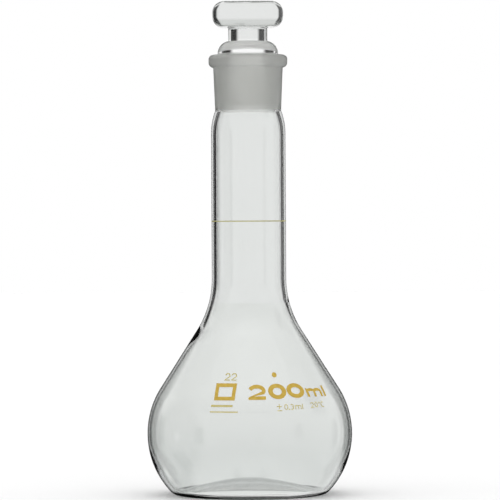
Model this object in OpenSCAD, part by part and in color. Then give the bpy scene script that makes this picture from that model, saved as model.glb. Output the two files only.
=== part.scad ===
// Volumetric flask, 200 ml, with a flat-headed ground stopper.
// Millimetres, +Z up. The origin is the centre of the foot, on the surface the flask stands on.
// The marks face -Y and read upright from there.

/* [Bulb] */
// Largest outside diameter of the bulb
bulb_d = 75.4; // [74:0.2:77]
// Radius of the belly in section
belly_r = 31.2; // [30.6:0.2:32]
// Height of the widest ring of the belly
belly_z = 22.7; // [22:0.1:23.4]
// Slope of the shoulder, in degrees from the vertical
shoulder_angle = 32.5; // [31:0.5:34]
// Radius of the heel, between the belly and the foot
heel_r = 4.5; // [4:0.25:5.5]
// Wall of the bulb
bulb_wall = 1.3; // [1:0.05:1.6]
// Thickness of the floor
floor_wall = 1.6; // [1.3:0.1:2]
// Height of the dome pushed up into the floor
kick_up = 4; // [2.5:0.5:5]
// Width of the flat ring that the flask stands on
foot_w = 1.8; // [1.2:0.2:3]

/* [Neck] */
// Outside diameter of the neck
neck_d = 27.4; // [26.6:0.2:28]
// Wall of the neck
neck_wall = 1.8; // [1.4:0.05:2]
// Radius of the curve from the shoulder into the neck
fillet_r = 36; // [33:1:38]
// Where the neck tube is sealed to the bulb, in degrees down that curve
seal_angle = 14.5; // [10:0.5:18]
// Height of the graduation ring, which holds 200 ml at 20 degrees
ring_z = 100.8; // [95:0.1:110]

/* [Ground joint] */
// Diameter of the joint at the mouth
joint_d = 22; // [21.6:0.1:22.2]
// Taper of the joint, as length over change of diameter
joint_taper = 10; // [9:1:12]
// Height of the mouth above the foot
mouth_z = 162; // [158:0.5:168]
// Length of the ground bore
bore_l = 20.5; // [18:0.5:22]
// Outside diameter of the rolled rim
rim_d = 29; // [28:0.2:30]
// Radial clearance of the stopper in the bore
joint_gap = 0.04; // [0.02:0.01:0.08]

/* [Stopper] */
// Width of the flat head
head_w = 26; // [24:0.5:28]
// Depth of the head, from its front face to its back face
head_depth = 20; // [19:0.5:24]
// Thickness of the head
head_h = 9.3; // [8.8:0.1:11]
// Diameter of the stem under the head
stem_d = 14.4; // [12:0.2:16]
// Height of the stopper above the mouth
stopper_h = 19.5; // [18:0.5:22]
// How far the plug stops short of the lower end of the bore
plug_short = 1.6; // [1:0.2:4]

/* [Marks] */
// How far the stain stands proud of the glass
mark_proud = 0.07; // [0.05:0.01:0.1]
// How far the stain goes into the glass
mark_deep = 0.03; // [0.02:0.01:0.05]
// Width of the graduation ring's line
ring_w = 0.4; // [0.3:0.1:0.8]

/* [Hidden] */
$fn = 96;

GLASS = [0.86, 0.89, 0.88, 0.5];
GROUND = [0.72, 0.74, 0.72, 0.9];
AMBER = [0.84, 0.64, 0.12];

// Centres of the belly, heel and fillet arcs in the half-section, as [radius, height]
belly_c = [bulb_d / 2 - belly_r, belly_z];
heel_c = [belly_c.x + sqrt(pow(belly_r - heel_r, 2) - pow(belly_z - heel_r, 2)), heel_r];
heel_angle = atan2(heel_c.y - belly_c.y, heel_c.x - belly_c.x);
cone_foot = belly_c + belly_r * [cos(shoulder_angle), sin(shoulder_angle)];
fillet_x = neck_d / 2 + fillet_r;
cone_top_r = fillet_x - fillet_r * cos(shoulder_angle);
cone_top_z = cone_foot.y + (cone_foot.x - cone_top_r) / tan(shoulder_angle);
fillet_c = [fillet_x, cone_top_z + fillet_r * sin(shoulder_angle)];
// The floor's dome is a cap of a sphere, inside the foot
dome_rim = heel_c.x - foot_w;
dome_r = (pow(dome_rim, 2) + pow(kick_up, 2)) / (2 * kick_up);
dome_angle = asin(dome_rim / dome_r);
// The neck draws in to the foot of the socket on one outer and one inner arc
socket_z = mouth_z - bore_l;
socket_foot_r = 12.15;
bore_foot_r = joint_d / 2 - bore_l / joint_taper / 2 + joint_gap;
draw_in_out_h = 8.5;
draw_in_in_h = 9;
neck_r = neck_d / 2;
neck_bore_r = neck_r - neck_wall;
// Socket body under the rim, and the rounds of the rim
socket_top_r = 12.8;
rim_h = 4.7;
rim_round = 1.6;
rim_under_round = 1.9;
mouth_bevel = 0.3;
// Stopper
plug_z = socket_z + plug_short;
plug_round = 0.8;
dome_shoulder_r = 4.6;
dome_shoulder_rise = 0.5;
stem_fillet = 0.6;
// Rounds of the head: at its two ends, along its two faces, and of its four upright corners
end_top_round = 4;
end_under_round = 4.2;
face_top_round = 1.8;
face_under_round = 2.2;
corner_round = 5;

// Points on an arc about c, from angle a to angle b, whose radius runs from r to r_end
function arc(c, r, a, b, n, r_end = undef) =
    [for (i = [0:n])
        let (t = i / n, rr = is_undef(r_end) ? r : r + (r_end - r) * t)
        c + rr * [cos(a + (b - a) * t), sin(a + (b - a) * t)]];
// The arc that leaves a vertical wall at [r, z] and has drawn in by d once it is h higher
function draw_in(r, z, d, h, n) =
    let (rr = (h * h + d * d) / (2 * d))
    arc([r - rr, z], rr, 0, asin(h / rr), n);
function reversed(list) = [for (i = [len(list) - 1:-1:0]) list[i]];
// Radius of the plug's cone at height z, before its clearance
function joint_r(z) = joint_d / 2 + (z - mouth_z) / joint_taper / 2;

module turned(points) {
    rotate_extrude() polygon(points);
}

// Blown bulb: domed floor, foot, heel, belly, shoulder and the foot of the neck's curve
module bulb() {
    dome_c = [0, kick_up - dome_r];
    seal_wall = (bulb_wall + neck_wall) / 2;
    outside = concat(
        arc(dome_c, dome_r, 90, 90 - dome_angle, 6),
        arc(heel_c, heel_r, -90, heel_angle, 6),
        arc(belly_c, belly_r, heel_angle, shoulder_angle, 24),
        arc(fillet_c, fillet_r, 180 + shoulder_angle, 180 + seal_angle, 6));
    inside = concat(
        arc(dome_c, dome_r + floor_wall, 90, 90 - dome_angle, 6),
        arc(heel_c, heel_r - floor_wall, -90, heel_angle, 6, heel_r - bulb_wall),
        arc(belly_c, belly_r - bulb_wall, heel_angle, shoulder_angle, 24),
        arc(fillet_c, fillet_r + bulb_wall, 180 + shoulder_angle, 180 + seal_angle, 6,
            fillet_r + seal_wall));
    color(GLASS) turned(concat(outside, reversed(inside)));
}

// Neck tube: the rest of the curve, the straight bore and the draw-in under the socket
module neck() {
    seal_wall = (bulb_wall + neck_wall) / 2;
    draw_d = neck_bore_r - bore_foot_r;
    outside = concat(
        arc(fillet_c, fillet_r, 180 + seal_angle, 180, 5),
        draw_in(neck_r, socket_z - draw_in_out_h, neck_r - socket_foot_r, draw_in_out_h, 8));
    inside = concat(
        arc(fillet_c, fillet_r + seal_wall, 180 + seal_angle, 180, 5, fillet_r + neck_wall),
        draw_in(neck_bore_r, socket_z - draw_in_in_h, draw_d, draw_in_in_h, 8));
    color(GLASS) turned(concat(outside, reversed(inside)));
}

// Thick socket with a 1 in 10 ground bore and a rolled rim
module ground_socket() {
    rim_r = rim_d / 2;
    rim_foot_z = mouth_z - rim_h;
    bore_top_r = joint_d / 2 + joint_gap;
    outside = concat(
        [[socket_foot_r, socket_z], [socket_top_r, rim_foot_z]],
        arc([rim_r - rim_under_round, rim_foot_z + rim_under_round], rim_under_round, -80, 0, 6),
        arc([rim_r - rim_round, mouth_z - rim_round], rim_round, 0, 90, 6));
    bore = [[bore_top_r + mouth_bevel, mouth_z],
            [joint_r(mouth_z - mouth_bevel) + joint_gap, mouth_z - mouth_bevel],
            [bore_foot_r, socket_z]];
    color(GROUND) turned(concat(outside, bore));
}

// A w by h block with its sides centred on X and its foot on Y = 0, rounded by top_r above and foot_r below
module rounded_block(w, h, top_r, foot_r) {
    right = concat(
        arc([w / 2 - foot_r, foot_r], foot_r, -90, 0, 6),
        arc([w / 2 - top_r, h - top_r], top_r, 0, 90, 6));
    polygon(concat(right, [for (p = reversed(right)) [-p.x, p.y]]));
}
// Pressed head: flat faces front and back, and rounded ends
module head() {
    intersection() {
        linear_extrude(head_h) translate([0, -head_depth / 2])
            rounded_block(head_w, head_depth, corner_round, corner_round);
        rotate([90, 0, 0]) linear_extrude(head_depth, center = true)
            rounded_block(head_w, head_h, end_top_round, end_under_round);
        rotate([90, 0, 90]) linear_extrude(head_w, center = true)
            rounded_block(head_depth, head_h, face_top_round, face_under_round);
    }
}

// Solid pressed stopper: ground plug, domed shoulder, stem and flat head
module stopper() {
    head_z = mouth_z + stopper_h - head_h;
    stem_r = stem_d / 2;
    shoulder_c = [joint_d / 2 + 0.1 - dome_shoulder_r, mouth_z + dome_shoulder_rise];
    foot_r = joint_r(plug_z);
    profile = concat(
        [[0, plug_z]],
        arc([foot_r - plug_round, plug_z + plug_round], plug_round, -90, -3, 4),
        [[joint_r(mouth_z), mouth_z]],
        arc(shoulder_c, dome_shoulder_r, 0, acos((stem_r - shoulder_c.x) / dome_shoulder_r), 8),
        arc([stem_r + stem_fillet, head_z - stem_fillet], stem_fillet, 180, 90, 4),
        [[stem_r, head_z + stem_fillet], [0, head_z + stem_fillet]]);
    color(GLASS) {
        turned(profile);
        translate([0, 0, head_z]) head();
    }
}

// Line round the neck at the filling height
module graduation_ring() {
    color(AMBER) turned([
        [neck_r - mark_deep, ring_z - ring_w / 2], [neck_r + mark_proud, ring_z - ring_w / 2],
        [neck_r + mark_proud, ring_z + ring_w / 2], [neck_r - mark_deep, ring_z + ring_w / 2]]);
}

// The marks are flat figures cut out of a thin skin on the belly and shoulder
module skin() {
    cone_point = [cone_top_r, cone_top_z];
    slope = [cos(shoulder_angle), sin(shoulder_angle)];
    outside = concat(arc(belly_c, belly_r + mark_proud, 0, shoulder_angle, 10),
                     [cone_point + mark_proud * slope]);
    inside = concat(arc(belly_c, belly_r - mark_deep, 0, shoulder_angle, 10),
                    [cone_point - mark_deep * slope]);
    turned(concat(outside, reversed(inside)));
}
module stained() {
    color(AMBER) intersection() {
        skin();
        union() children();
    }
}
// Stands a flat figure upright at an angle round from -Y, with its foot at height z
module at(angle, z) {
    rotate([0, 0, angle]) translate([0, 0, z]) rotate([90, 0, 0])
        linear_extrude(bulb_d / 2 + 1) children();
}

// A line of width t along a path, square at both ends
module stroke(path, t) {
    last = len(path) - 1;
    sides = [for (i = [0:last])
        let (d = path[min(i + 1, last)] - path[max(i - 1, 0)])
        [-d.y, d.x] / norm(d) * t / 2];
    polygon(concat([for (i = [0:last]) path[i] + sides[i]],
                   [for (i = [last:-1:0]) path[i] - sides[i]]));
}
function bow(c, rx, ry, a, b, n = 12) =
    [for (i = [0:n]) c + [rx * cos(a + (b - a) * i / n), ry * sin(a + (b - a) * i / n)]];

// Figures of width w and height h in a line t wide, centred on X and standing on Y = 0
module zero(w, h, t) {
    difference() {
        polygon(bow([0, h / 2], w / 2, h / 2, 0, 345, 23));
        polygon(bow([0, h / 2], w / 2 - t, h / 2 - t * 0.8, 0, 345, 23));
    }
}
module two(w, h, t) {
    ry = h * 0.28;
    rx = (w - t) / 2;
    stroke(concat(bow([0, h - t / 2 - ry], rx, ry, 165, -30), [[t / 2 - w / 2, t * 0.45]]), t);
    translate([-w / 2, 0]) square([w, t * 0.9]);
}
module three(w, h, t) {
    ry = (h - t) / 4;
    rx = (w - t) / 2;
    stroke(bow([0, h - t / 2 - ry], rx, ry, 150, -80), t);
    stroke(bow([0, t / 2 + ry], rx, ry, 80, -150), t);
}
module bar(x, y, w, h) {
    translate([x, y]) square([w, h]);
}
// Lower-case m with x-height h, and an l beside it that rises over it by a quarter
module ml(w, h, t) {
    m_w = w * 0.8;
    span = (m_w - t) / 2;
    for (i = [0:2]) bar(-w / 2 + i * span, 0, t, i == 0 ? h : h * 0.7);
    for (i = [0:1])
        stroke(bow([-w / 2 + t / 2 + span * (i + 0.5), h * 0.62], span / 2, h * 0.38 - t / 2, 180, 0), t);
    bar(w / 2 - t, 0, t, h * 1.25);
}

// "200 ml" in broad figures, climbing slightly to the right
module capacity_mark() {
    stained() {
        at(4.6, 36.5) two(6.3, 5.3, 1.35);
        at(17.4, 36.65) zero(6.9, 5.4, 1.75);
        at(30.4, 36.9) zero(7.2, 5.2, 1.75);
        at(46.5, 37.15) ml(9.6, 3, 1);
    }
}

// "± 0.3 ml 20 °C" in thin figures
module tolerance_mark() {
    h = 2;
    t = 0.28;
    stained() {
        at(17.5, 32.4) {
            bar(-0.9, 1.5, 1.8, t);
            bar(-t / 2, 0.75, t, 1.8);
            bar(-0.9, 0, 1.8, t);
        }
        at(21.7, 32.8) zero(1.5, h, t);
        at(23.5, 32.8) bar(-0.2, 0, 0.4, 0.4);
        at(25.4, 32.8) three(1.4, h, t);
        at(30, 32.9) ml(3.2, h * 0.75, t);
        at(39.5, 33.2) two(1.5, h, t);
        at(42.8, 33.3) zero(1.5, h, t);
        at(45.4, 34.6) zero(0.7, 0.7, 0.2);
        at(48, 33.3) stroke(bow([0, h / 2], 0.75, h / 2 - t / 2, 50, 310), t);
    }
}

// "22", the size of the ground joint
module joint_size_mark() {
    stained() {
        at(-15.5, 43.3) two(2, 2.6, 0.36);
        at(-10.8, 43.3) two(2, 2.6, 0.36);
    }
}

// Plain write-on field: a broad frame round clear glass
module field_frame() {
    w = 7.7;
    h = 6;
    line = 1.3;
    stained() at(-15.4, 36.3) difference() {
        bar(-w / 2, 0, w, h);
        bar(-w / 2 + line, line, w - 2 * line, h - 2 * line);
    }
}
// Two plain rules under the field
module field_rules() {
    stained() {
        at(-16.5, 34) bar(-4, 0, 8, 0.7);
        at(-15, 32) bar(-5.2, 0, 10.4, 0.4);
    }
}
// Small dot over the capacity
module index_dot() {
    stained() at(17.8, 44.3) translate([0, 0.9]) circle(r = 0.9, $fn = 32);
}

bulb();
neck();
ground_socket();
stopper();
graduation_ring();
capacity_mark();
tolerance_mark();
joint_size_mark();
field_frame();
field_rules();
index_dot();
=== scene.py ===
"""A 200 ml volumetric flask with a ground stopper, in clear glass with amber marks.

Lengths are in millimetres in this script and become metres when a mesh or a material is made. A half-section
is a list of (radius, height) points that is turned about the Z axis.
"""
import math

import bmesh
import bpy
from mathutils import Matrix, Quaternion, Vector


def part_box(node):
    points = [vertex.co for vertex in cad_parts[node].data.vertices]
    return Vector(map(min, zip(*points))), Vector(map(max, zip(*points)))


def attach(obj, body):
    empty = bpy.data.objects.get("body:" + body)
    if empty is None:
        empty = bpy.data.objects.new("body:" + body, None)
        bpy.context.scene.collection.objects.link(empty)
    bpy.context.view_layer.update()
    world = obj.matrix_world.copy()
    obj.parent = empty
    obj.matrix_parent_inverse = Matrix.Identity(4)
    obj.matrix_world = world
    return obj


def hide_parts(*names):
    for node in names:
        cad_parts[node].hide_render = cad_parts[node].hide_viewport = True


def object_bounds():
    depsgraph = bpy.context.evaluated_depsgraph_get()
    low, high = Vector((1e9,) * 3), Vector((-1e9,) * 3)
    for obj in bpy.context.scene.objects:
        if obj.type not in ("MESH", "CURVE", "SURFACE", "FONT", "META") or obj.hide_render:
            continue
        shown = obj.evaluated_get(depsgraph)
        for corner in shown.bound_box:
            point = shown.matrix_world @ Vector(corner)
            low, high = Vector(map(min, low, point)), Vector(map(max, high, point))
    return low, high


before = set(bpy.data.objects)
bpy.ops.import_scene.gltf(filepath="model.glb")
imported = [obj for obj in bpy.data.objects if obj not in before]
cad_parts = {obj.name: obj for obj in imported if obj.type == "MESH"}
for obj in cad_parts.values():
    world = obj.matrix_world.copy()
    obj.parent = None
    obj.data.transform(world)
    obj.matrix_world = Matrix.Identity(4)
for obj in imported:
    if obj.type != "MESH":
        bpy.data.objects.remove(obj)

MM = 0.001
cad_low, cad_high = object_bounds()

# ---------------------------------------------------------------- sizes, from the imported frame


def box_mm(node):
    """A CAD node's low and high corners, in millimetres."""
    low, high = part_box(node)
    return Vector(low) / MM, Vector(high) / MM


BULB_HIGH = box_mm("bulb")[1]
SOCKET_LOW, SOCKET_HIGH = box_mm("ground_socket")
STOPPER_LOW, STOPPER_HIGH = box_mm("stopper")
RING_LOW, RING_HIGH = box_mm("graduation_ring")

# The bulb: arcs of the belly, the heel and the curve into the neck
BELLY_R, BELLY_Z = 31.2, 22.7
HEEL_R, FOOT_W = 4.5, 1.8
SHOULDER = 32.5
FILLET_R, SEAL = 36.0, 14.5
BULB_WALL, FLOOR_WALL, NECK_WALL = 1.3, 1.6, 1.8
KICK_UP = 4.0
NECK_R = RING_HIGH.x - 0.07
BELLY_C = (BULB_HIGH.x - BELLY_R, BELLY_Z)
HEEL_C = (BELLY_C[0] + math.sqrt((BELLY_R - HEEL_R) ** 2 - (BELLY_Z - HEEL_R) ** 2), HEEL_R)
HEEL_ANGLE = math.degrees(math.atan2(HEEL_C[1] - BELLY_C[1], HEEL_C[0] - BELLY_C[0]))
# The ground joint, 1 in 10 on the diameter
MOUTH_Z, SOCKET_Z = SOCKET_HIGH.z, SOCKET_LOW.z
JOINT_R, TAPER, JOINT_GAP = 11.0, 0.05, 0.04
SOCKET_FOOT_R, SOCKET_TOP_R, RIM_H = 12.15, 12.8, 4.7
DRAW_IN_OUT, DRAW_IN_IN = 8.5, 9.0
# The stopper's shoulder, stem and head
SHOULDER_R, STEM_R, STEM_FILLET = 4.6, 7.2, 0.6
HEAD_W, HEAD_DEPTH, HEAD_H = 2 * STOPPER_HIGH.x, 20.0, 9.3
CORNER_ROUND, FACE_ROUND, END_ROUND = 5.0, 2.0, 4.1
# The camera: level with the graduation ring, on a long lens
CAMERA_AWAY = 1400.0
FRAME_W = 184.25
SENSOR = 36.0
CAMERA_ROLL = -0.3
CAMERA_SIDE, AIM_BELOW_MIDDLE = 0.42, 0.6

# Steps round the axis, and the distance within which two points count as one
ROUND = 192
SAME = 1e-6


def cosd(a):
    return math.cos(math.radians(a))


def sind(a):
    return math.sin(math.radians(a))


def arc(c, r, a, b, n, r_end=None):
    """Points on an arc about c, from angle a to angle b, whose radius runs from r to r_end."""
    r_end = r if r_end is None else r_end
    steps = [i / n for i in range(n + 1)]
    return [(c[0] + (r + (r_end - r) * t) * cosd(a + (b - a) * t),
             c[1] + (r + (r_end - r) * t) * sind(a + (b - a) * t)) for t in steps]


def line(a, b, n):
    """Points on a straight line, both ends included."""
    return [(a[0] + (b[0] - a[0]) * i / n, a[1] + (b[1] - a[1]) * i / n) for i in range(n + 1)]


def draw_in(r, z, d, h, n):
    """The arc that leaves a vertical wall at (r, z) and has drawn in by d once it is h higher."""
    radius = (h * h + d * d) / (2 * d)
    return arc((r - radius, z), radius, 0, math.degrees(math.asin(h / radius)), n)


def smooth(t):
    t = min(max(t, 0.0), 1.0)
    return t * t * (3 - 2 * t)


CONE_FOOT = (BELLY_C[0] + BELLY_R * cosd(SHOULDER), BELLY_C[1] + BELLY_R * sind(SHOULDER))
CONE_TOP_R = NECK_R + FILLET_R - FILLET_R * cosd(SHOULDER)
CONE_TOP_Z = CONE_FOOT[1] + (CONE_FOOT[0] - CONE_TOP_R) / math.tan(math.radians(SHOULDER))
FILLET_C = (NECK_R + FILLET_R, CONE_TOP_Z + FILLET_R * sind(SHOULDER))
SEAL_WALL = (BULB_WALL + NECK_WALL) / 2
DOME_RIM = HEEL_C[0] - FOOT_W
DOME_R = (DOME_RIM ** 2 + KICK_UP ** 2) / (2 * KICK_UP)
DOME_C = (0.0, KICK_UP - DOME_R)
DOME_ANGLE = math.degrees(math.asin(DOME_RIM / DOME_R))

# ---------------------------------------------------------------- meshes


def turned(name, loop, slots, wave=None, closed=True):
    """A body of revolution.

    loop is the half-section, as (points, slot, inner) runs that follow one another round the outline. A
    run's faces take its material slot, and the points of an inner run are moved in or out by
    wave(angle, z). A point on the axis becomes a pole.
    """
    points, slot_of, inner = [], [], []
    for run, slot, is_inner in loop:
        for p in run:
            if points and math.dist(points[-1], p) < SAME:
                slot_of[-1] = slot
                continue
            points.append(p)
            slot_of.append(slot)
            inner.append(is_inner)
    mesh = bmesh.new()
    rings = []
    for (r, z), is_inner in zip(points, inner):
        if r < SAME:
            rings.append([mesh.verts.new((0, 0, z * MM))] * ROUND)
            continue
        ring = []
        for k in range(ROUND):
            a = 2 * math.pi * k / ROUND
            rr = r + (wave(a, z) if wave and is_inner else 0.0)
            ring.append(mesh.verts.new((rr * math.cos(a) * MM, rr * math.sin(a) * MM, z * MM)))
        rings.append(ring)
    count = len(rings) if closed else len(rings) - 1
    for i in range(count):
        a, b = rings[i], rings[(i + 1) % len(rings)]
        for k in range(ROUND):
            corners = list(dict.fromkeys((a[k], a[(k + 1) % ROUND], b[(k + 1) % ROUND], b[k])))
            if len(corners) > 2:
                mesh.faces.new(corners).material_index = slot_of[i]
    bmesh.ops.recalc_face_normals(mesh, faces=mesh.faces)
    return finish_mesh(name, mesh, slots)


def finish_mesh(name, mesh, slots, sharp=35):
    """Turns a bmesh into an object, smooth apart from edges sharper than so many degrees."""
    for face in mesh.faces:
        face.smooth = True
    for edge in mesh.edges:
        if len(edge.link_faces) == 2:
            edge.smooth = edge.calc_face_angle(0.0) < math.radians(sharp)
    data = bpy.data.meshes.new(name)
    mesh.to_mesh(data)
    mesh.free()
    for slot in slots:
        data.materials.append(slot)
    ob = bpy.data.objects.new(name, data)
    bpy.context.collection.objects.link(ob)
    return ob


def outer_radius(z):
    """Outside radius of the bulb at height z, on the belly and the straight part of the shoulder."""
    if z < CONE_FOOT[1]:
        return BELLY_C[0] + math.sqrt(BELLY_R ** 2 - (z - BELLY_C[1]) ** 2)
    return CONE_FOOT[0] - (z - CONE_FOOT[1]) * math.tan(math.radians(SHOULDER))


def outer_normal(z):
    """(radial, upward) parts of the outward normal at height z."""
    up = (z - BELLY_C[1]) / BELLY_R if z < CONE_FOOT[1] else sind(SHOULDER)
    return math.sqrt(1 - up * up), up


def wall_wave(a, z):
    """How far the blown inner wall lies outside its design radius.

    The belly is blown thin and the floor is left thick. The flame seal slants: on the right the wall steps
    down just under it, and on the left it stays thick for a while and then thins.
    """
    right = 0.5 + 0.5 * math.cos(a)
    thin, floor_ends, thin_ends, ends_later = 0.5, 7.0, 54.0, 8.0
    above_floor = smooth((z - floor_ends) / 12.0)
    belly = thin * above_floor * (1 - smooth((z - (thin_ends + ends_later * right)) / 8.0))
    step_out, step_z, step_ends = 0.16, 72.4, 60.0
    step = step_out * smooth((step_z - z) / 2.0) * smooth((z - step_ends) / 8.0)
    step *= smooth((right - 0.6) / 0.35)
    lump, lump_z, lump_spread = -0.3, 62.0, 5.0
    thick = lump * math.exp(-((z - lump_z) / lump_spread) ** 2) * smooth((0.4 - right) / 0.35)
    unevenness = 0.006
    uneven = unevenness * math.sin(3 * a + z / 14.0) * math.sin(z / 11.0 + 1.0)
    fade = smooth((z - 3.0) / 10.0) * smooth((SOCKET_Z - 2.0 - z) / 12.0)
    return (belly + step * (1 - belly / thin) + thick + uneven) * fade


# ---------------------------------------------------------------- materials


def node_tree(name):
    mat = bpy.data.materials.new(name)
    mat.use_nodes = True
    tree = mat.node_tree
    shader = tree.nodes["Principled BSDF"]
    return mat, tree, shader


def noise(tree, scale, detail, stretch=(1, 1, 1)):
    """A noise texture on the object's own coordinates, scaled in cycles a metre."""
    coords = tree.nodes.new("ShaderNodeTexCoord")
    mapping = tree.nodes.new("ShaderNodeMapping")
    mapping.inputs["Scale"].default_value = stretch
    tex = tree.nodes.new("ShaderNodeTexNoise")
    tex.inputs["Scale"].default_value = scale
    tex.inputs["Detail"].default_value = detail
    tree.links.new(coords.outputs["Object"], mapping.inputs["Vector"])
    tree.links.new(mapping.outputs["Vector"], tex.inputs["Vector"])
    return tex.outputs["Fac"]


def ramp(tree, value, low, high, start=0.3, stop=0.7):
    """Two colours, mixed by a value between start and stop."""
    node = tree.nodes.new("ShaderNodeValToRGB")
    node.color_ramp.elements[0].position = start
    node.color_ramp.elements[0].color = (*low, 1)
    node.color_ramp.elements[1].position = stop
    node.color_ramp.elements[1].color = (*high, 1)
    tree.links.new(value, node.inputs["Fac"])
    return node.outputs["Color"]


def map_range(tree, value, low, high, start=0.0, stop=1.0):
    """A value's range from low to high, smoothly mapped to start and stop."""
    node = tree.nodes.new("ShaderNodeMapRange")
    node.interpolation_type = "SMOOTHSTEP"
    node.inputs["From Min"].default_value = low
    node.inputs["From Max"].default_value = high
    node.inputs["To Min"].default_value = start
    node.inputs["To Max"].default_value = stop
    tree.links.new(value, node.inputs["Value"])
    return node.outputs["Result"]


def maths(tree, kind, *values):
    """A maths node; each value is a number or a socket."""
    node = tree.nodes.new("ShaderNodeMath")
    node.operation = kind
    for socket, value in zip(node.inputs, values):
        if isinstance(value, (int, float)):
            socket.default_value = value
        else:
            tree.links.new(value, socket)
    return node.outputs["Value"]


def bump(tree, shader, value, strength, distance):
    node = tree.nodes.new("ShaderNodeBump")
    node.inputs["Strength"].default_value = strength
    node.inputs["Distance"].default_value = distance
    tree.links.new(value, node.inputs["Height"])
    tree.links.new(node.outputs["Normal"], shader.inputs["Normal"])


def clear_glass(name, low, high, ripple):
    """Borosilicate glass, with the faint green of its thickness and the soft ripple of hot-drawn surfaces."""
    mat, tree, shader = node_tree(name)
    shader.inputs["Transmission Weight"].default_value = 1.0
    shader.inputs["IOR"].default_value = 1.472
    shader.inputs["Roughness"].default_value = 0.0
    tint = ramp(tree, noise(tree, 28, 2), low, high)
    tree.links.new(tint, shader.inputs["Base Color"])
    bump(tree, shader, noise(tree, 55, 1, (1, 1, 0.3)), ripple, 0.0003)
    return mat, tree, shader, tint


def blend(tree, factor, a, b):
    """A colour, or a socket's, that turns into colour b as factor rises."""
    mix = tree.nodes.new("ShaderNodeMix")
    mix.data_type = "RGBA"
    tree.links.new(factor, mix.inputs["Factor"])
    if isinstance(a, tuple):
        mix.inputs["A"].default_value = (*a, 1)
    else:
        tree.links.new(a, mix.inputs["A"])
    mix.inputs["B"].default_value = (*b, 1)
    return mix.outputs["Result"]


def both(tree, a, b):
    """The product of two factors."""
    return maths(tree, "MULTIPLY", a, b)


def facing(tree, low, high):
    """0 where a surface is seen square on and 1 where it is seen along itself."""
    weight = tree.nodes.new("ShaderNodeLayerWeight")
    weight.inputs["Blend"].default_value = 0.5
    return map_range(tree, weight.outputs["Facing"], low, high)


def height(tree, low, high):
    """0 to 1 as the object's own Z goes from low to high, in millimetres."""
    coords = tree.nodes.new("ShaderNodeTexCoord")
    place = tree.nodes.new("ShaderNodeSeparateXYZ")
    tree.links.new(coords.outputs["Object"], place.inputs["Vector"])
    return map_range(tree, place.outputs["Z"], low * MM, high * MM)


def flatness(tree, low, high):
    """0 to 1 as the size of the surface's normal along the object's Z goes from low, steep, to high, flat."""
    coords = tree.nodes.new("ShaderNodeTexCoord")
    split = tree.nodes.new("ShaderNodeSeparateXYZ")
    tree.links.new(coords.outputs["Normal"], split.inputs["Vector"])
    return map_range(tree, maths(tree, "ABSOLUTE", split.outputs["Z"]), low, high)


def blown_glass():
    """The bulb's thin glass.

    Its tint is painted light and shade in three places: painted shade darkens it, and its reflections, where
    one looks along the wall and not through it, painted shade makes it a little darker on the lower belly, and
    painted light makes it nearly clear on the floor.
    """
    mat, tree, shader, tint = clear_glass("blown_glass", (0.848, 0.862, 0.850), (0.866, 0.878, 0.868), 0.012)
    rim_shade_ends, rim_shade_full = 66.0, 56.0
    belly_shade_from, belly_shade_full = 34.0, 12.0
    # Painted shade where the wall is seen edge-on, on the bulb below the seal
    rim_shade = both(tree, facing(tree, 0.76, 0.87), height(tree, rim_shade_ends, rim_shade_full))
    # Painted shade: a little darker on the lower belly
    tint = blend(tree, height(tree, belly_shade_from, belly_shade_full), tint, (0.815, 0.832, 0.822))
    # Painted light: nearly clear where the surface faces up or down, on the floor
    tint = blend(tree, flatness(tree, 0.8, 0.93), tint, (0.985, 0.99, 0.985))
    tint = blend(tree, rim_shade, tint, (0.12, 0.13, 0.125))
    tree.links.new(tint, shader.inputs["Base Color"])
    # Painted shade on the reflections too, where the wall is seen edge-on
    tree.links.new(blend(tree, rim_shade, (1, 1, 1), (0.1, 0.1, 0.1)), shader.inputs["Specular Tint"])
    return mat


def pressed_glass():
    """The stopper's solid glass, with fine waves from the mould.

    Its tint is painted light and shade too: painted light makes it nearly clear up to the top of the shoulder,
    painted shade makes it darker on the head's underside, and darker still in short streaks where the head's
    edges are rounded.
    """
    mat, tree, shader, tint = clear_glass("pressed_glass", (0.775, 0.788, 0.778), (0.795, 0.806, 0.798), 0.03)
    shoulder_top, shoulder_soft = MOUTH_Z + 6.0, 1.0
    head_foot, foot_soft = STOPPER_HIGH.z - HEAD_H, 0.4
    underside_shade_ends, underside_shade_full = 3.2, 1.8
    # Painted light: nearly clear up to the top of the shoulder
    tint = blend(tree, height(tree, shoulder_top, shoulder_top - shoulder_soft), tint, (0.98, 0.985, 0.98))
    on_head = height(tree, head_foot - foot_soft, head_foot)
    # Painted shade on the head's underside
    under = both(tree, height(tree, head_foot + underside_shade_ends, head_foot + underside_shade_full), on_head)
    tint = blend(tree, under, tint, (0.52, 0.54, 0.52))
    # Painted shade in short streaks where the head's edges are rounded
    wrinkle_shade = map_range(tree, noise(tree, 420, 2, (0.3, 1, 1.5)), 0.50, 0.42)
    rounding = both(tree, flatness(tree, 0.3, 0.75), flatness(tree, 0.99, 0.9))
    edges = both(tree, rounding, on_head)
    tint = blend(tree, both(tree, wrinkle_shade, edges), tint, (0.30, 0.32, 0.30))
    tree.links.new(tint, shader.inputs["Base Color"])
    ripple = shader.inputs["Normal"].links[0].from_socket
    bump(tree, shader, noise(tree, 260, 2, (0.5, 1, 1.6)), 0.12, 0.0002)
    tree.links.new(ripple, shader.inputs["Normal"].links[0].from_node.inputs["Normal"])
    return mat


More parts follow.
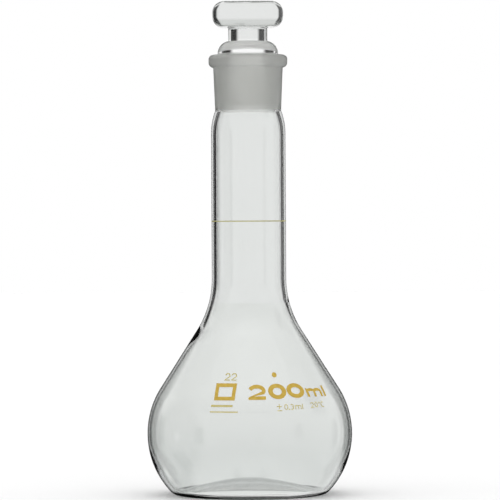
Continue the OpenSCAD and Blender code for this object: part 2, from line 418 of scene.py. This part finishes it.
def ground_glass(name, low, high, smoothest, roughest, edge=None):
    """Glass ground with fine grit and slightly mottled; where edge is given, painted shade turns its tint to
    that colour where it is seen aslant.
    """
    mat, tree, shader = node_tree(name)
    shader.inputs["Transmission Weight"].default_value = 1.0
    shader.inputs["IOR"].default_value = 1.472
    tint = ramp(tree, noise(tree, 90, 3, (1, 1, 0.5)), low, high)
    if edge:
        # Painted shade: the tint darkens towards the edge colour where the surface is seen aslant
        tint = blend(tree, facing(tree, 0.0, 0.5), tint, edge)
    tree.links.new(tint, shader.inputs["Base Color"])
    grit = noise(tree, 400, 4, (1, 1, 3))
    tree.links.new(map_range(tree, grit, 0.3, 0.7, smoothest, roughest), shader.inputs["Roughness"])
    bump(tree, shader, noise(tree, 5000, 3, (1, 1, 2)), 0.3, 0.0001)
    return mat


def seal_glass():
    """The faces where one blank is sealed to the next: nothing shows, as the glass has no surface there."""
    mat, tree, shader = node_tree("seal")
    clear = tree.nodes.new("ShaderNodeBsdfTransparent")
    tree.links.new(clear.outputs["BSDF"], tree.nodes["Material Output"].inputs["Surface"])
    tree.nodes.remove(shader)
    return mat


def amber_stain(name, low, high, cover):
    """Amber fired into the glass, mottled, with a soft gloss; cover is how little the glass shows through."""
    mat, tree, shader = node_tree(name)
    colour = ramp(tree, noise(tree, 900, 4), low, high, 0.35, 0.65)
    tree.links.new(colour, shader.inputs["Base Color"])
    shader.inputs["Roughness"].default_value = 0.4
    shader.inputs["IOR"].default_value = 1.5
    shader.inputs["Alpha"].default_value = cover
    bump(tree, shader, noise(tree, 2500, 3), 0.15, 0.00003)
    return mat


# ---------------------------------------------------------------- the glass


def bulb_loop():
    outside = (arc(DOME_C, DOME_R, 90, 90 - DOME_ANGLE, 20)
               + line((DOME_RIM, 0.0), (HEEL_C[0], 0.0), 2)
               + arc(HEEL_C, HEEL_R, -90, HEEL_ANGLE, 14)
               + arc(BELLY_C, BELLY_R, HEEL_ANGLE, SHOULDER, 64)
               + line(CONE_FOOT, (CONE_TOP_R, CONE_TOP_Z), 20)
               + arc(FILLET_C, FILLET_R, 180 + SHOULDER, 180 + SEAL, 16))
    wall_c = (BELLY_C[0] + (BELLY_R - BULB_WALL) * cosd(SHOULDER),
              BELLY_C[1] + (BELLY_R - BULB_WALL) * sind(SHOULDER))
    fillet_start = arc(FILLET_C, FILLET_R + BULB_WALL, 180 + SHOULDER, 180, 1)[0]
    inside = (arc(DOME_C, DOME_R + FLOOR_WALL, 90, 90 - DOME_ANGLE, 20)
              + arc(HEEL_C, HEEL_R - FLOOR_WALL, -90, HEEL_ANGLE, 14, HEEL_R - BULB_WALL)
              + arc(BELLY_C, BELLY_R - BULB_WALL, HEEL_ANGLE, SHOULDER, 64)
              + line(wall_c, fillet_start, 20)
              + arc(FILLET_C, FILLET_R + BULB_WALL, 180 + SHOULDER, 180 + SEAL, 16, FILLET_R + SEAL_WALL))
    return outside, inside


def make_bulb(mats):
    outside, inside = bulb_loop()
    inside.reverse()
    loop = [(outside[:-1], 0, False), (outside[-1:], 1, False), (inside, 0, True)]
    return turned("bulb_glass", loop, mats, wall_wave, closed=False)


def make_neck(mats):
    bore_foot_r = JOINT_R - (MOUTH_Z - SOCKET_Z) * TAPER + JOINT_GAP
    bore_r = NECK_R - NECK_WALL
    outside = (arc(FILLET_C, FILLET_R, 180 + SEAL, 180, 12)
               + line((NECK_R, FILLET_C[1]), (NECK_R, SOCKET_Z - DRAW_IN_OUT), 30)
               + draw_in(NECK_R, SOCKET_Z - DRAW_IN_OUT, NECK_R - SOCKET_FOOT_R, DRAW_IN_OUT, 14))
    inside = (arc(FILLET_C, FILLET_R + SEAL_WALL, 180 + SEAL, 180, 12, FILLET_R + NECK_WALL)
              + line((bore_r, FILLET_C[1]), (bore_r, SOCKET_Z - DRAW_IN_IN), 30)
              + draw_in(bore_r, SOCKET_Z - DRAW_IN_IN, bore_r - bore_foot_r, DRAW_IN_IN, 14))
    inside.reverse()
    loop = [(outside[:-1], 0, False), (outside[-1:], 1, False),
            (inside[:-1], 0, True), (inside[-1:], 1, True)]
    return turned("neck_glass", loop, mats, wall_wave)


def make_socket(mats):
    rim_r = SOCKET_HIGH.x
    under, top, bevel = 1.9, 1.6, 0.3
    rim_foot_z = MOUTH_Z - RIM_H
    bore_foot_r = JOINT_R - (MOUTH_Z - SOCKET_Z) * TAPER + JOINT_GAP
    outside = (line((SOCKET_FOOT_R, SOCKET_Z), (SOCKET_TOP_R, rim_foot_z), 16)
               + arc((rim_r - under, rim_foot_z + under), under, -80, 0, 12)
               + arc((rim_r - top, MOUTH_Z - top), top, 0, 90, 12))
    bore_top = (JOINT_R - bevel * TAPER + JOINT_GAP, MOUTH_Z - bevel)
    bore = line(bore_top, (bore_foot_r, SOCKET_Z), 16)
    mouth = [(JOINT_R + JOINT_GAP + bevel, MOUTH_Z)]
    loop = [(outside, 0, False), (mouth, 2, False), (bore[:-1], 2, False), (bore[-1:], 1, False)]
    return turned("ground_socket_glass", loop, mats)


def plug_and_stem(mats, head_z):
    """The turned part of the stopper: ground plug, domed shoulder, and the stem with its fillet."""
    plug_z = STOPPER_LOW.z
    shoulder_out, shoulder_up, foot_round = 0.1, 0.5, 0.8
    shoulder_c = (JOINT_R + shoulder_out - SHOULDER_R, MOUTH_Z + shoulder_up)
    foot_r = JOINT_R - (MOUTH_Z - plug_z) * TAPER
    foot = (line((0.0, plug_z), (foot_r - foot_round, plug_z), 10)
            + arc((foot_r - foot_round, plug_z + foot_round), foot_round, -90, -3, 6))
    cone = line(foot[-1], (JOINT_R, MOUTH_Z), 16)
    shoulder_end = math.degrees(math.acos((STEM_R - shoulder_c[0]) / SHOULDER_R))
    stem_foot = (STEM_R, shoulder_c[1] + SHOULDER_R * sind(shoulder_end))
    upper = (arc(shoulder_c, SHOULDER_R, 0, shoulder_end, 20)
             + line(stem_foot, (STEM_R, head_z - STEM_FILLET), 6)
             + arc((STEM_R + STEM_FILLET, head_z - STEM_FILLET), STEM_FILLET, 180, 90, 8)
             + line((STEM_R, head_z + STEM_FILLET), (0.0, head_z + STEM_FILLET), 8))
    loop = [(foot, 2, False), (cone, 2, False), (upper, 0, False)]
    return turned("stopper_glass", loop, mats, closed=False)


def head_outline():
    """The head from above, as (point, normal): a block with round corners."""
    half_w, half_d = HEAD_W / 2 - CORNER_ROUND, HEAD_DEPTH / 2 - CORNER_ROUND
    corner_steps, side_steps = 16, 12
    corners = ((half_w, half_d), (-half_w, half_d), (-half_w, -half_d), (half_w, -half_d))
    points = []
    for quarter, (cx, cy) in enumerate(corners):
        for i in range(corner_steps + 1):
            turn = 90 * quarter + 90 * i / corner_steps
            n = Vector((cosd(turn), sind(turn)))
            points.append((Vector((cx, cy)) + CORNER_ROUND * n, n))
        a, n = points[-1]
        side = Vector((-n.y, n.x))
        length = 2 * (half_w if quarter % 2 == 0 else half_d)
        points += [(a + side * length * k / side_steps, n) for k in range(1, side_steps)]
    return points


def pressed_head(mats, head_z):
    """The head: its rounding widens from the flat faces to the ends."""
    outline = head_outline()
    widens_from = 0.15
    shares = [smooth((abs(n.x) - widens_from) / (1 - widens_from)) for _, n in outline]
    rounds = [FACE_ROUND + (END_ROUND - FACE_ROUND) * share for share in shares]
    curve_steps, flat_steps = 14, 6
    rings = [[(0.0, 0.0, 0.0)] * len(outline)]
    for top in (False, True):
        section = []
        for i in range(1, flat_steps):
            section.append([(p - n * r) * (i / flat_steps) for (p, n), r in zip(outline, rounds)])
        flat = [[(q.x, q.y, HEAD_H if top else 0.0) for q in ring] for ring in section]
        curve = []
        for i in range(curve_steps + 1):
            turn = 90 * i / curve_steps
            ring = []
            for (p, n), r in zip(outline, rounds):
                q = p - n * r + n * r * sind(turn)
                drop = r * (1 - cosd(turn))
                ring.append((q.x, q.y, HEAD_H - drop if top else drop))
            curve.append(ring)
        rings += (flat + curve) if not top else (curve[::-1] + flat[::-1])
    rings.append([(0.0, 0.0, HEAD_H)] * len(outline))
    mesh = bmesh.new()
    made = []
    for ring in rings:
        if ring[0] == ring[1]:
            pole = mesh.verts.new((0, 0, (head_z + ring[0][2]) * MM))
            made.append([pole] * len(ring))
        else:
            made.append([mesh.verts.new((x * MM, y * MM, (head_z + z) * MM)) for x, y, z in ring])
    for a, b in zip(made, made[1:]):
        for k in range(len(outline)):
            m = (k + 1) % len(outline)
            corners = list(dict.fromkeys((a[k], a[m], b[m], b[k])))
            if len(corners) > 2:
                mesh.faces.new(corners)
    bmesh.ops.recalc_face_normals(mesh, faces=mesh.faces)
    return finish_mesh("head", mesh, mats)


def make_stopper(mats):
    """The turned part and the head, joined into one solid."""
    head_z = STOPPER_HIGH.z - HEAD_H
    body, head = plug_and_stem(mats, head_z), pressed_head(mats, head_z)
    join = body.modifiers.new("join", "BOOLEAN")
    join.operation, join.solver, join.object = "UNION", "EXACT", head
    bpy.context.view_layer.update()
    joined = bpy.data.meshes.new_from_object(body.evaluated_get(bpy.context.evaluated_depsgraph_get()))
    bpy.data.objects.remove(head)
    bpy.data.objects.remove(body)
    mesh = bmesh.new()
    mesh.from_mesh(joined)
    bpy.data.meshes.remove(joined)
    bmesh.ops.remove_doubles(mesh, verts=mesh.verts, dist=SAME)
    return finish_mesh("stopper_glass", mesh, mats)


# ---------------------------------------------------------------- the amber marks

MARK_PROUD, MARK_DEEP = 0.07, 0.03
GRID = 0.5


def bow(c, rx, ry, a, b, n=24):
    """Points on an elliptical arc about c."""
    turns = [a + (b - a) * i / n for i in range(n + 1)]
    return [(c[0] + rx * cosd(turn), c[1] + ry * sind(turn)) for turn in turns]


def stroke(path, t):
    """The outline of a line t wide along a path, square at both ends."""
    left, right = [], []
    for i, p in enumerate(path):
        a, b = path[max(i - 1, 0)], path[min(i + 1, len(path) - 1)]
        d = Vector((b[0] - a[0], b[1] - a[1])).normalized() * (t / 2)
        left.append((p[0] - d.y, p[1] + d.x))
        right.append((p[0] + d.y, p[1] - d.x))
    return left + right[::-1]


def bar(x, y, w, h):
    return [(x, y), (x + w, y), (x + w, y + h), (x, y + h)]


# A figure is a list of outlines, centred on x and standing on y = 0; an outline inside another is a hole


def zero(w, h, t):
    outer = bow((0, h / 2), w / 2, h / 2, 0, 356.25, 95)
    inner = bow((0, h / 2), w / 2 - t, h / 2 - t * 0.8, 0, 356.25, 95)
    return [outer, inner]


def two(w, h, t):
    """The bow and the stem of a 2 down to its foot, whose bar is one outline with them."""
    ry, rx = h * 0.28, (w - t) / 2
    path = bow((0, h - t / 2 - ry), rx, ry, 165, -30)
    outline = stroke(path, t)
    outer, inner = outline[:len(path)], outline[len(path):][::-1]
    foot = t * 0.9
    bar_of_foot = [(t * 1.35 - w / 2, foot), (w / 2, foot), (w / 2, 0), (-w / 2, 0), (-w / 2, foot * 0.7)]
    return [outer + bar_of_foot + inner[::-1]]


def three(w, h, t):
    ry, rx = (h - t) / 4, (w - t) / 2
    upper = bow((0, h - t / 2 - ry), rx, ry, 150, -90)
    lower = bow((0, t / 2 + ry), rx, ry, 90, -150)
    return [stroke(upper + lower[1:], t)]


def ml(w, h, t):
    """A lower-case m of x-height h, and an l that rises over it by a quarter."""
    left, m_w = -w / 2, w * 0.8
    span = (m_w - t) / 2
    arch_y, ry, rx = h * 0.62, h * 0.38, (span + t) / 2
    mid = left + t / 2 + span
    c1, c2 = left + t / 2 + span / 2, left + t / 2 + span * 1.5
    valley = math.degrees(math.acos((mid - c1) / rx))
    in_rx, in_ry = rx - t, ry - t
    outline = [(left, 0), (left, h), (left + t * 0.8, h)]
    outline += bow((c1, arch_y), rx, ry, 130, valley, 12)
    outline += bow((c2, arch_y), rx, ry, 180 - valley, 0, 16)
    outline += [(c2 + rx, 0), (c2 + in_rx, 0)] + bow((c2, arch_y), in_rx, in_ry, 0, 180, 12)
    outline += [(mid + t / 2, 0), (mid - t / 2, 0)] + bow((c1, arch_y), in_rx, in_ry, 0, 180, 12)
    outline += [(left + t, 0)]
    return [outline, bar(w / 2 - t, 0, t, h * 1.25)]


def flat_fill(outlines):
    """A flat filled mesh of outlines, with holes, cut along a grid so that it can be bent."""
    curve = bpy.data.curves.new("fill", "CURVE")
    curve.dimensions, curve.fill_mode = "2D", "BOTH"
    for outline in outlines:
        spline = curve.splines.new("POLY")
        spline.points.add(len(outline) - 1)
        for point, (x, y) in zip(spline.points, outline):
            point.co = (x, y, 0, 1)
        spline.use_cyclic_u = True
    holder = bpy.data.objects.new("fill", curve)
    bpy.context.collection.objects.link(holder)
    bpy.context.view_layer.update()
    flat = bpy.data.meshes.new_from_object(holder)
    mesh = bmesh.new()
    mesh.from_mesh(flat)
    bpy.data.objects.remove(holder)
    bpy.data.curves.remove(curve)
    bpy.data.meshes.remove(flat)
    bmesh.ops.remove_doubles(mesh, verts=mesh.verts, dist=1e-4)
    for axis in (0, 1):
        low = min(v.co[axis] for v in mesh.verts)
        high = max(v.co[axis] for v in mesh.verts)
        for i in range(1, int((high - low) / GRID) + 1):
            normal = Vector((axis == 0, axis == 1, 0))
            bmesh.ops.bisect_plane(mesh, geom=mesh.verts[:] + mesh.edges[:] + mesh.faces[:],
                                   plane_co=normal * (low + i * GRID), plane_no=normal)
    return mesh


def stained(name, figures, mat):
    """One mark: figures of (angle round from -Y, height of the foot, outlines), bent on to the bulb."""
    whole = bmesh.new()
    for angle, foot_z, outlines in figures:
        mesh = flat_fill(outlines)
        bmesh.ops.recalc_face_normals(mesh, faces=mesh.faces)
        front = mesh.faces[:]
        for f in front:
            if f.normal.z < 0:
                f.normal_flip()
        back = bmesh.ops.duplicate(mesh, geom=mesh.verts[:] + mesh.edges[:] + front)
        back_of = back["vert_map"]
        back_faces = [g for g in back["geom"] if isinstance(g, bmesh.types.BMFace)]
        back_verts = {v for f in back_faces for v in f.verts}
        for f in back_faces:
            f.normal_flip()
        for edge in [e for e in mesh.edges if e.is_boundary and not set(e.verts) & back_verts]:
            a, b = edge.verts
            mesh.faces.new((a, b, back_of[b], back_of[a]))
        for v in mesh.verts:
            x, z = v.co.x, foot_z + v.co.y
            lift = -MARK_DEEP if v in back_verts else MARK_PROUD
            out, up = outer_normal(z)
            r = outer_radius(z)
            turn = math.radians(angle) + math.asin(x / r)
            r += lift * out
            v.co = (r * math.sin(turn) * MM, -r * math.cos(turn) * MM, (z + lift * up) * MM)
        bmesh.ops.recalc_face_normals(mesh, faces=mesh.faces)
        part = bpy.data.meshes.new("part")
        mesh.to_mesh(part)
        mesh.free()
        whole.from_mesh(part)
        bpy.data.meshes.remove(part)
    return finish_mesh(name, whole, [mat])


def capacity_figures():
    return [(4.6, 36.5, two(6.3, 5.3, 1.35)), (17.7, 36.65, zero(6.8, 5.4, 1.75)),
            (30.4, 36.9, zero(7.2, 5.2, 1.75)), (46.5, 37.15, ml(9.6, 3, 1))]


def tolerance_figures():
    h, t = 2.0, 0.28
    arm, bar_y, low, high = 0.9, 1.5, 0.75, 2.55
    plus = [(-arm, bar_y), (-t / 2, bar_y), (-t / 2, low), (t / 2, low), (t / 2, bar_y), (arm, bar_y),
            (arm, bar_y + t), (t / 2, bar_y + t), (t / 2, high), (-t / 2, high), (-t / 2, bar_y + t),
            (-arm, bar_y + t)]
    letter_c = [stroke(bow((0, h / 2), 0.75, h / 2 - t / 2, 50, 310), t)]
    return [(17.5, 32.4, [plus, bar(-arm, 0, 2 * arm, t)]), (21.7, 32.8, zero(1.5, h, t)),
            (23.5, 32.8, [bar(-0.2, 0, 0.4, 0.4)]), (25.4, 32.8, three(1.4, h, t)),
            (30, 32.9, ml(3.2, h * 0.75, t)), (39.5, 33.2, two(1.5, h, t)), (42.8, 33.3, zero(1.5, h, t)),
            (45.4, 34.6, zero(0.7, 0.7, 0.2)), (48, 33.3, letter_c)]


def joint_size_figures():
    return [(angle, 43.3, two(2, 2.6, 0.36)) for angle in (-15.5, -10.8)]


def field_figure():
    w, h, edge = 7.7, 6.0, 1.3
    return [(-15.4, 36.3, [bar(-w / 2, 0, w, h), bar(edge - w / 2, edge, w - 2 * edge, h - 2 * edge)])]


def rule_figures():
    return [(-16.5, 34, [bar(-4, 0, 8, 0.7)]), (-15, 32, [bar(-5.2, 0, 10.4, 0.4)])]


def dot_figure():
    r = 0.9
    return [(17.8, 44.3, [bow((0, r), r, r, 0, 345, 23)])]


def make_marks(mat, faint):
    return {
        "capacity_mark": stained("capacity_print", capacity_figures(), mat),
        "tolerance_mark": stained("tolerance_print", tolerance_figures(), faint),
        "joint_size_mark": stained("joint_size_print", joint_size_figures(), faint),
        "field_frame": stained("field_frame_print", field_figure(), mat),
        "field_rules": stained("field_rules_print", rule_figures(), faint),
        "index_dot": stained("index_dot_print", dot_figure(), mat),
    }


def make_ring(mat):
    """The graduation line: a thin band with softly rounded edges."""
    r0, r1 = NECK_R - MARK_DEEP, NECK_R + MARK_PROUD
    z0, z1 = RING_LOW.z, RING_HIGH.z
    edge = 0.06
    band = [(r0, z0), (r1 - edge, z0), (r1, z0 + edge), (r1, z1 - edge), (r1 - edge, z1), (r0, z1)]
    return turned("graduation_line", [(band, 0, False)], [mat])


# ---------------------------------------------------------------- stage


def make_floor():
    """A pale floor, hidden in and through the glass to keep the glass's edges crisp."""
    mesh = bmesh.new()
    reach, steps = 4.0, 24
    bmesh.ops.create_grid(mesh, x_segments=steps, y_segments=steps, size=reach)
    floor = finish_mesh("floor", mesh, [])
    mat, tree, shader = node_tree("floor")
    colour = ramp(tree, noise(tree, 3, 2), (0.90, 0.90, 0.90), (0.93, 0.93, 0.93))
    tree.links.new(colour, shader.inputs["Base Color"])
    shader.inputs["Roughness"].default_value = 1.0
    shader.inputs["Specular IOR Level"].default_value = 0.0
    floor.data.materials.append(mat)
    floor.visible_transmission = False
    floor.visible_glossy = False


# The studio's walls are white, and pairs of dark cards, one card to either side of a backdrop, draw the edges
# of the glass. The first pair is for the front view; the others are for a level view from +X and for one from
# 45 degrees round and 25 up. A pair is (bearing of its middle from +Y towards +X, inner and outer edge either
# side of that, lowest and highest elevation), in degrees. From other directions the edges are paler.
CARD_PAIRS = [(0, 22.5, 47, -16, 24), (-90, 24, 36, -10, 10), (-45, 26, 50, -42, -21)]
CARD_SOFT, CARD_OUTER_SOFT, CARD_END_SOFT = 4.5, 2.0, 4.0
# A stand-in that no real card could be: rays that were just mirrored meet a dark ring round the middle of each
# of the same backdrops, so that glancing reflections do not light up the outline of the glass. These are the
# (bearing, elevation) of each middle, and where the ring begins and ends.
GLANCE_MIDDLES = [(0, -3), (-90, -3), (-45, -25)]
GLANCE_INNER, GLANCE_OUTER, GLANCE_INNER_SOFT, GLANCE_OUTER_SOFT = 4.0, 34.0, 3.0, 8.0
CARD_DARK, WALL_BRIGHT, UPPER_WALL, OVERHEAD = 0.02, 0.98, 0.6, 1.9
UPPER_FROM, UPPER_FULL, OVERHEAD_FROM = 24.0, 34.0, 20.0


def between(tree, value, low, high, low_soft, high_soft):
    """1 from low to high and 0 outside, with soft ends."""
    begins = map_range(tree, value, low - low_soft, low + low_soft)
    ends = map_range(tree, value, high - high_soft, high + high_soft)
    return maths(tree, "MULTIPLY", begins, maths(tree, "SUBTRACT", 1.0, ends))


def shared(tree, share, a, b):
    """a where share is 0, b where it is 1."""
    rest = maths(tree, "SUBTRACT", 1.0, share)
    return maths(tree, "ADD", maths(tree, "MULTIPLY", rest, a), maths(tree, "MULTIPLY", share, b))


def open_wall(tree, bearing, elevation):
    """1 on the open wall and 0 on a dark card."""
    wall = 1.0
    for middle, inner, outer, lowest, highest in CARD_PAIRS:
        off = maths(tree, "SUBTRACT", bearing, middle)
        off = maths(tree, "ABSOLUTE", maths(tree, "WRAP", off, 180.0, -180.0))
        wide = between(tree, off, inner, outer, CARD_SOFT, CARD_OUTER_SOFT)
        tall = between(tree, elevation, lowest, highest, CARD_END_SOFT, CARD_END_SOFT)
        off_card = maths(tree, "SUBTRACT", 1.0, maths(tree, "MULTIPLY", wide, tall))
        wall = maths(tree, "MULTIPLY", wall, off_card)
    return wall


def glance_rings(tree, direction):
    """1 on the dark rings that mirrored rays meet, and 0 elsewhere."""
    rings = 0.0
    for across, tilt in GLANCE_MIDDLES:
        along = tree.nodes.new("ShaderNodeVectorMath")
        along.operation = "DOT_PRODUCT"
        tree.links.new(direction, along.inputs[0])
        along.inputs[1].default_value = (sind(across) * cosd(tilt), cosd(across) * cosd(tilt), sind(tilt))
        away = maths(tree, "DEGREES", maths(tree, "ARCCOSINE", along.outputs["Value"]))
        ring = between(tree, away, GLANCE_INNER, GLANCE_OUTER, GLANCE_INNER_SOFT, GLANCE_OUTER_SOFT)
        rings = maths(tree, "MAXIMUM", rings, ring)
    return rings


def make_world():
    """The walls and cards, dimmer upper walls, a bright ceiling, and plain white for the camera itself."""
    world = bpy.data.worlds.new("studio")
    bpy.context.scene.world = world
    world.use_nodes = True
    tree = world.node_tree
    direction = tree.nodes.new("ShaderNodeTexCoord").outputs["Generated"]
    split = tree.nodes.new("ShaderNodeSeparateXYZ")
    tree.links.new(direction, split.inputs["Vector"])
    bearing = maths(tree, "DEGREES", maths(tree, "ARCTAN2", split.outputs["X"], split.outputs["Y"]))
    elevation = maths(tree, "DEGREES", maths(tree, "ARCSINE", split.outputs["Z"]))
    walls = shared(tree, open_wall(tree, bearing, elevation), CARD_DARK, WALL_BRIGHT)
    above = shared(tree, map_range(tree, elevation, OVERHEAD_FROM, 90.0), UPPER_WALL, OVERHEAD)
    sky = shared(tree, map_range(tree, elevation, UPPER_FROM, UPPER_FULL), walls, above)
    # A ray that came off a dull surface counts as reflected too, so those are taken away again
    rays = tree.nodes.new("ShaderNodeLightPath").outputs
    mirrored = maths(tree, "SUBTRACT", rays["Is Reflection Ray"], rays["Is Diffuse Ray"])
    mirrored = maths(tree, "GREATER_THAN", mirrored, 0.5)
    glance = maths(tree, "MULTIPLY", glance_rings(tree, direction), mirrored)
    sky = shared(tree, glance, sky, maths(tree, "MULTIPLY", sky, CARD_DARK))
    background = tree.nodes["Background"]
    tree.links.new(shared(tree, rays["Is Camera Ray"], sky, 1.0), background.inputs["Strength"])
    background.inputs["Color"].default_value = (1, 1, 1, 1)


def make_camera():
    """Level with the ring, tilted just enough to frame the whole flask, and rolled a hair as the photo is."""
    data = bpy.data.cameras.new("camera")
    data.sensor_width = SENSOR
    data.lens = SENSOR * CAMERA_AWAY / FRAME_W
    data.clip_start, data.clip_end = 0.05, 20.0
    camera = bpy.data.objects.new("camera", data)
    bpy.context.collection.objects.link(camera)
    ring_z = (RING_LOW.z + RING_HIGH.z) / 2
    eye = Vector((CAMERA_SIDE, -CAMERA_AWAY, ring_z)) * MM
    aim = Vector((CAMERA_SIDE, 0.0, (cad_low.z + cad_high.z) / 2 / MM - AIM_BELOW_MIDDLE)) * MM
    camera.location = eye
    camera.rotation_mode = "QUATERNION"
    unrolled = (aim - eye).to_track_quat("-Z", "Y")
    camera.rotation_quaternion = unrolled @ Quaternion((0, 0, 1), math.radians(CAMERA_ROLL))
    bpy.context.scene.camera = camera


def main():
    scene = bpy.context.scene
    scene.view_settings.view_transform = "Standard"
    scene.cycles.max_bounces = 24
    scene.cycles.transmission_bounces = 24
    scene.cycles.transparent_max_bounces = 24
    make_camera()
    make_world()
    make_floor()
    seal = seal_glass()
    ground = ground_glass("ground_glass", (0.86, 0.865, 0.845), (0.92, 0.925, 0.91), 0.68, 0.86)
    # The socket's ground glass again, in a paler tint: painted light that brightens the stopper's domed
    # shoulder seen through it
    plug = ground_glass("ground_plug_painted_light", (0.96, 0.965, 0.955), (0.99, 0.99, 0.985), 0.68, 0.86)
    drawn = clear_glass("drawn_glass", (0.862, 0.874, 0.866), (0.876, 0.886, 0.879), 0.004)[0]
    pressed = pressed_glass()
    # The socket's outer glass, lightly rough, with painted shade where it is seen aslant
    etched = ground_glass("etched_glass", (0.86, 0.865, 0.845), (0.92, 0.925, 0.91), 0.28, 0.36,
                          edge=(0.65, 0.66, 0.64))
    amber = amber_stain("amber_stain", (0.49, 0.315, 0.026), (0.575, 0.395, 0.047), 0.95)
    faint = amber_stain("amber_faint", (0.58, 0.48, 0.11), (0.67, 0.57, 0.16), 0.7)
    line_stain = amber_stain("amber_line", (0.58, 0.53, 0.20), (0.68, 0.63, 0.27), 0.55)
    for make, node, body, slot, glass in (
            (make_bulb, "bulb", "flask", "clear_glass", [blown_glass(), seal]),
            (make_neck, "neck", "flask", "clear_glass", [drawn, seal]),
            (make_socket, "ground_socket", "flask", "ground_glass", [etched, seal, ground]),
            (make_stopper, "stopper", "stopper", "clear_glass", [pressed, seal, plug])):
        piece = make(glass)
        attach(piece, body)
        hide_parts(node)
    marks = make_marks(amber, faint)
    marks["graduation_ring"] = make_ring(line_stain)
    for node, piece in marks.items():
        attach(piece, "flask")
        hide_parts(node)


main()
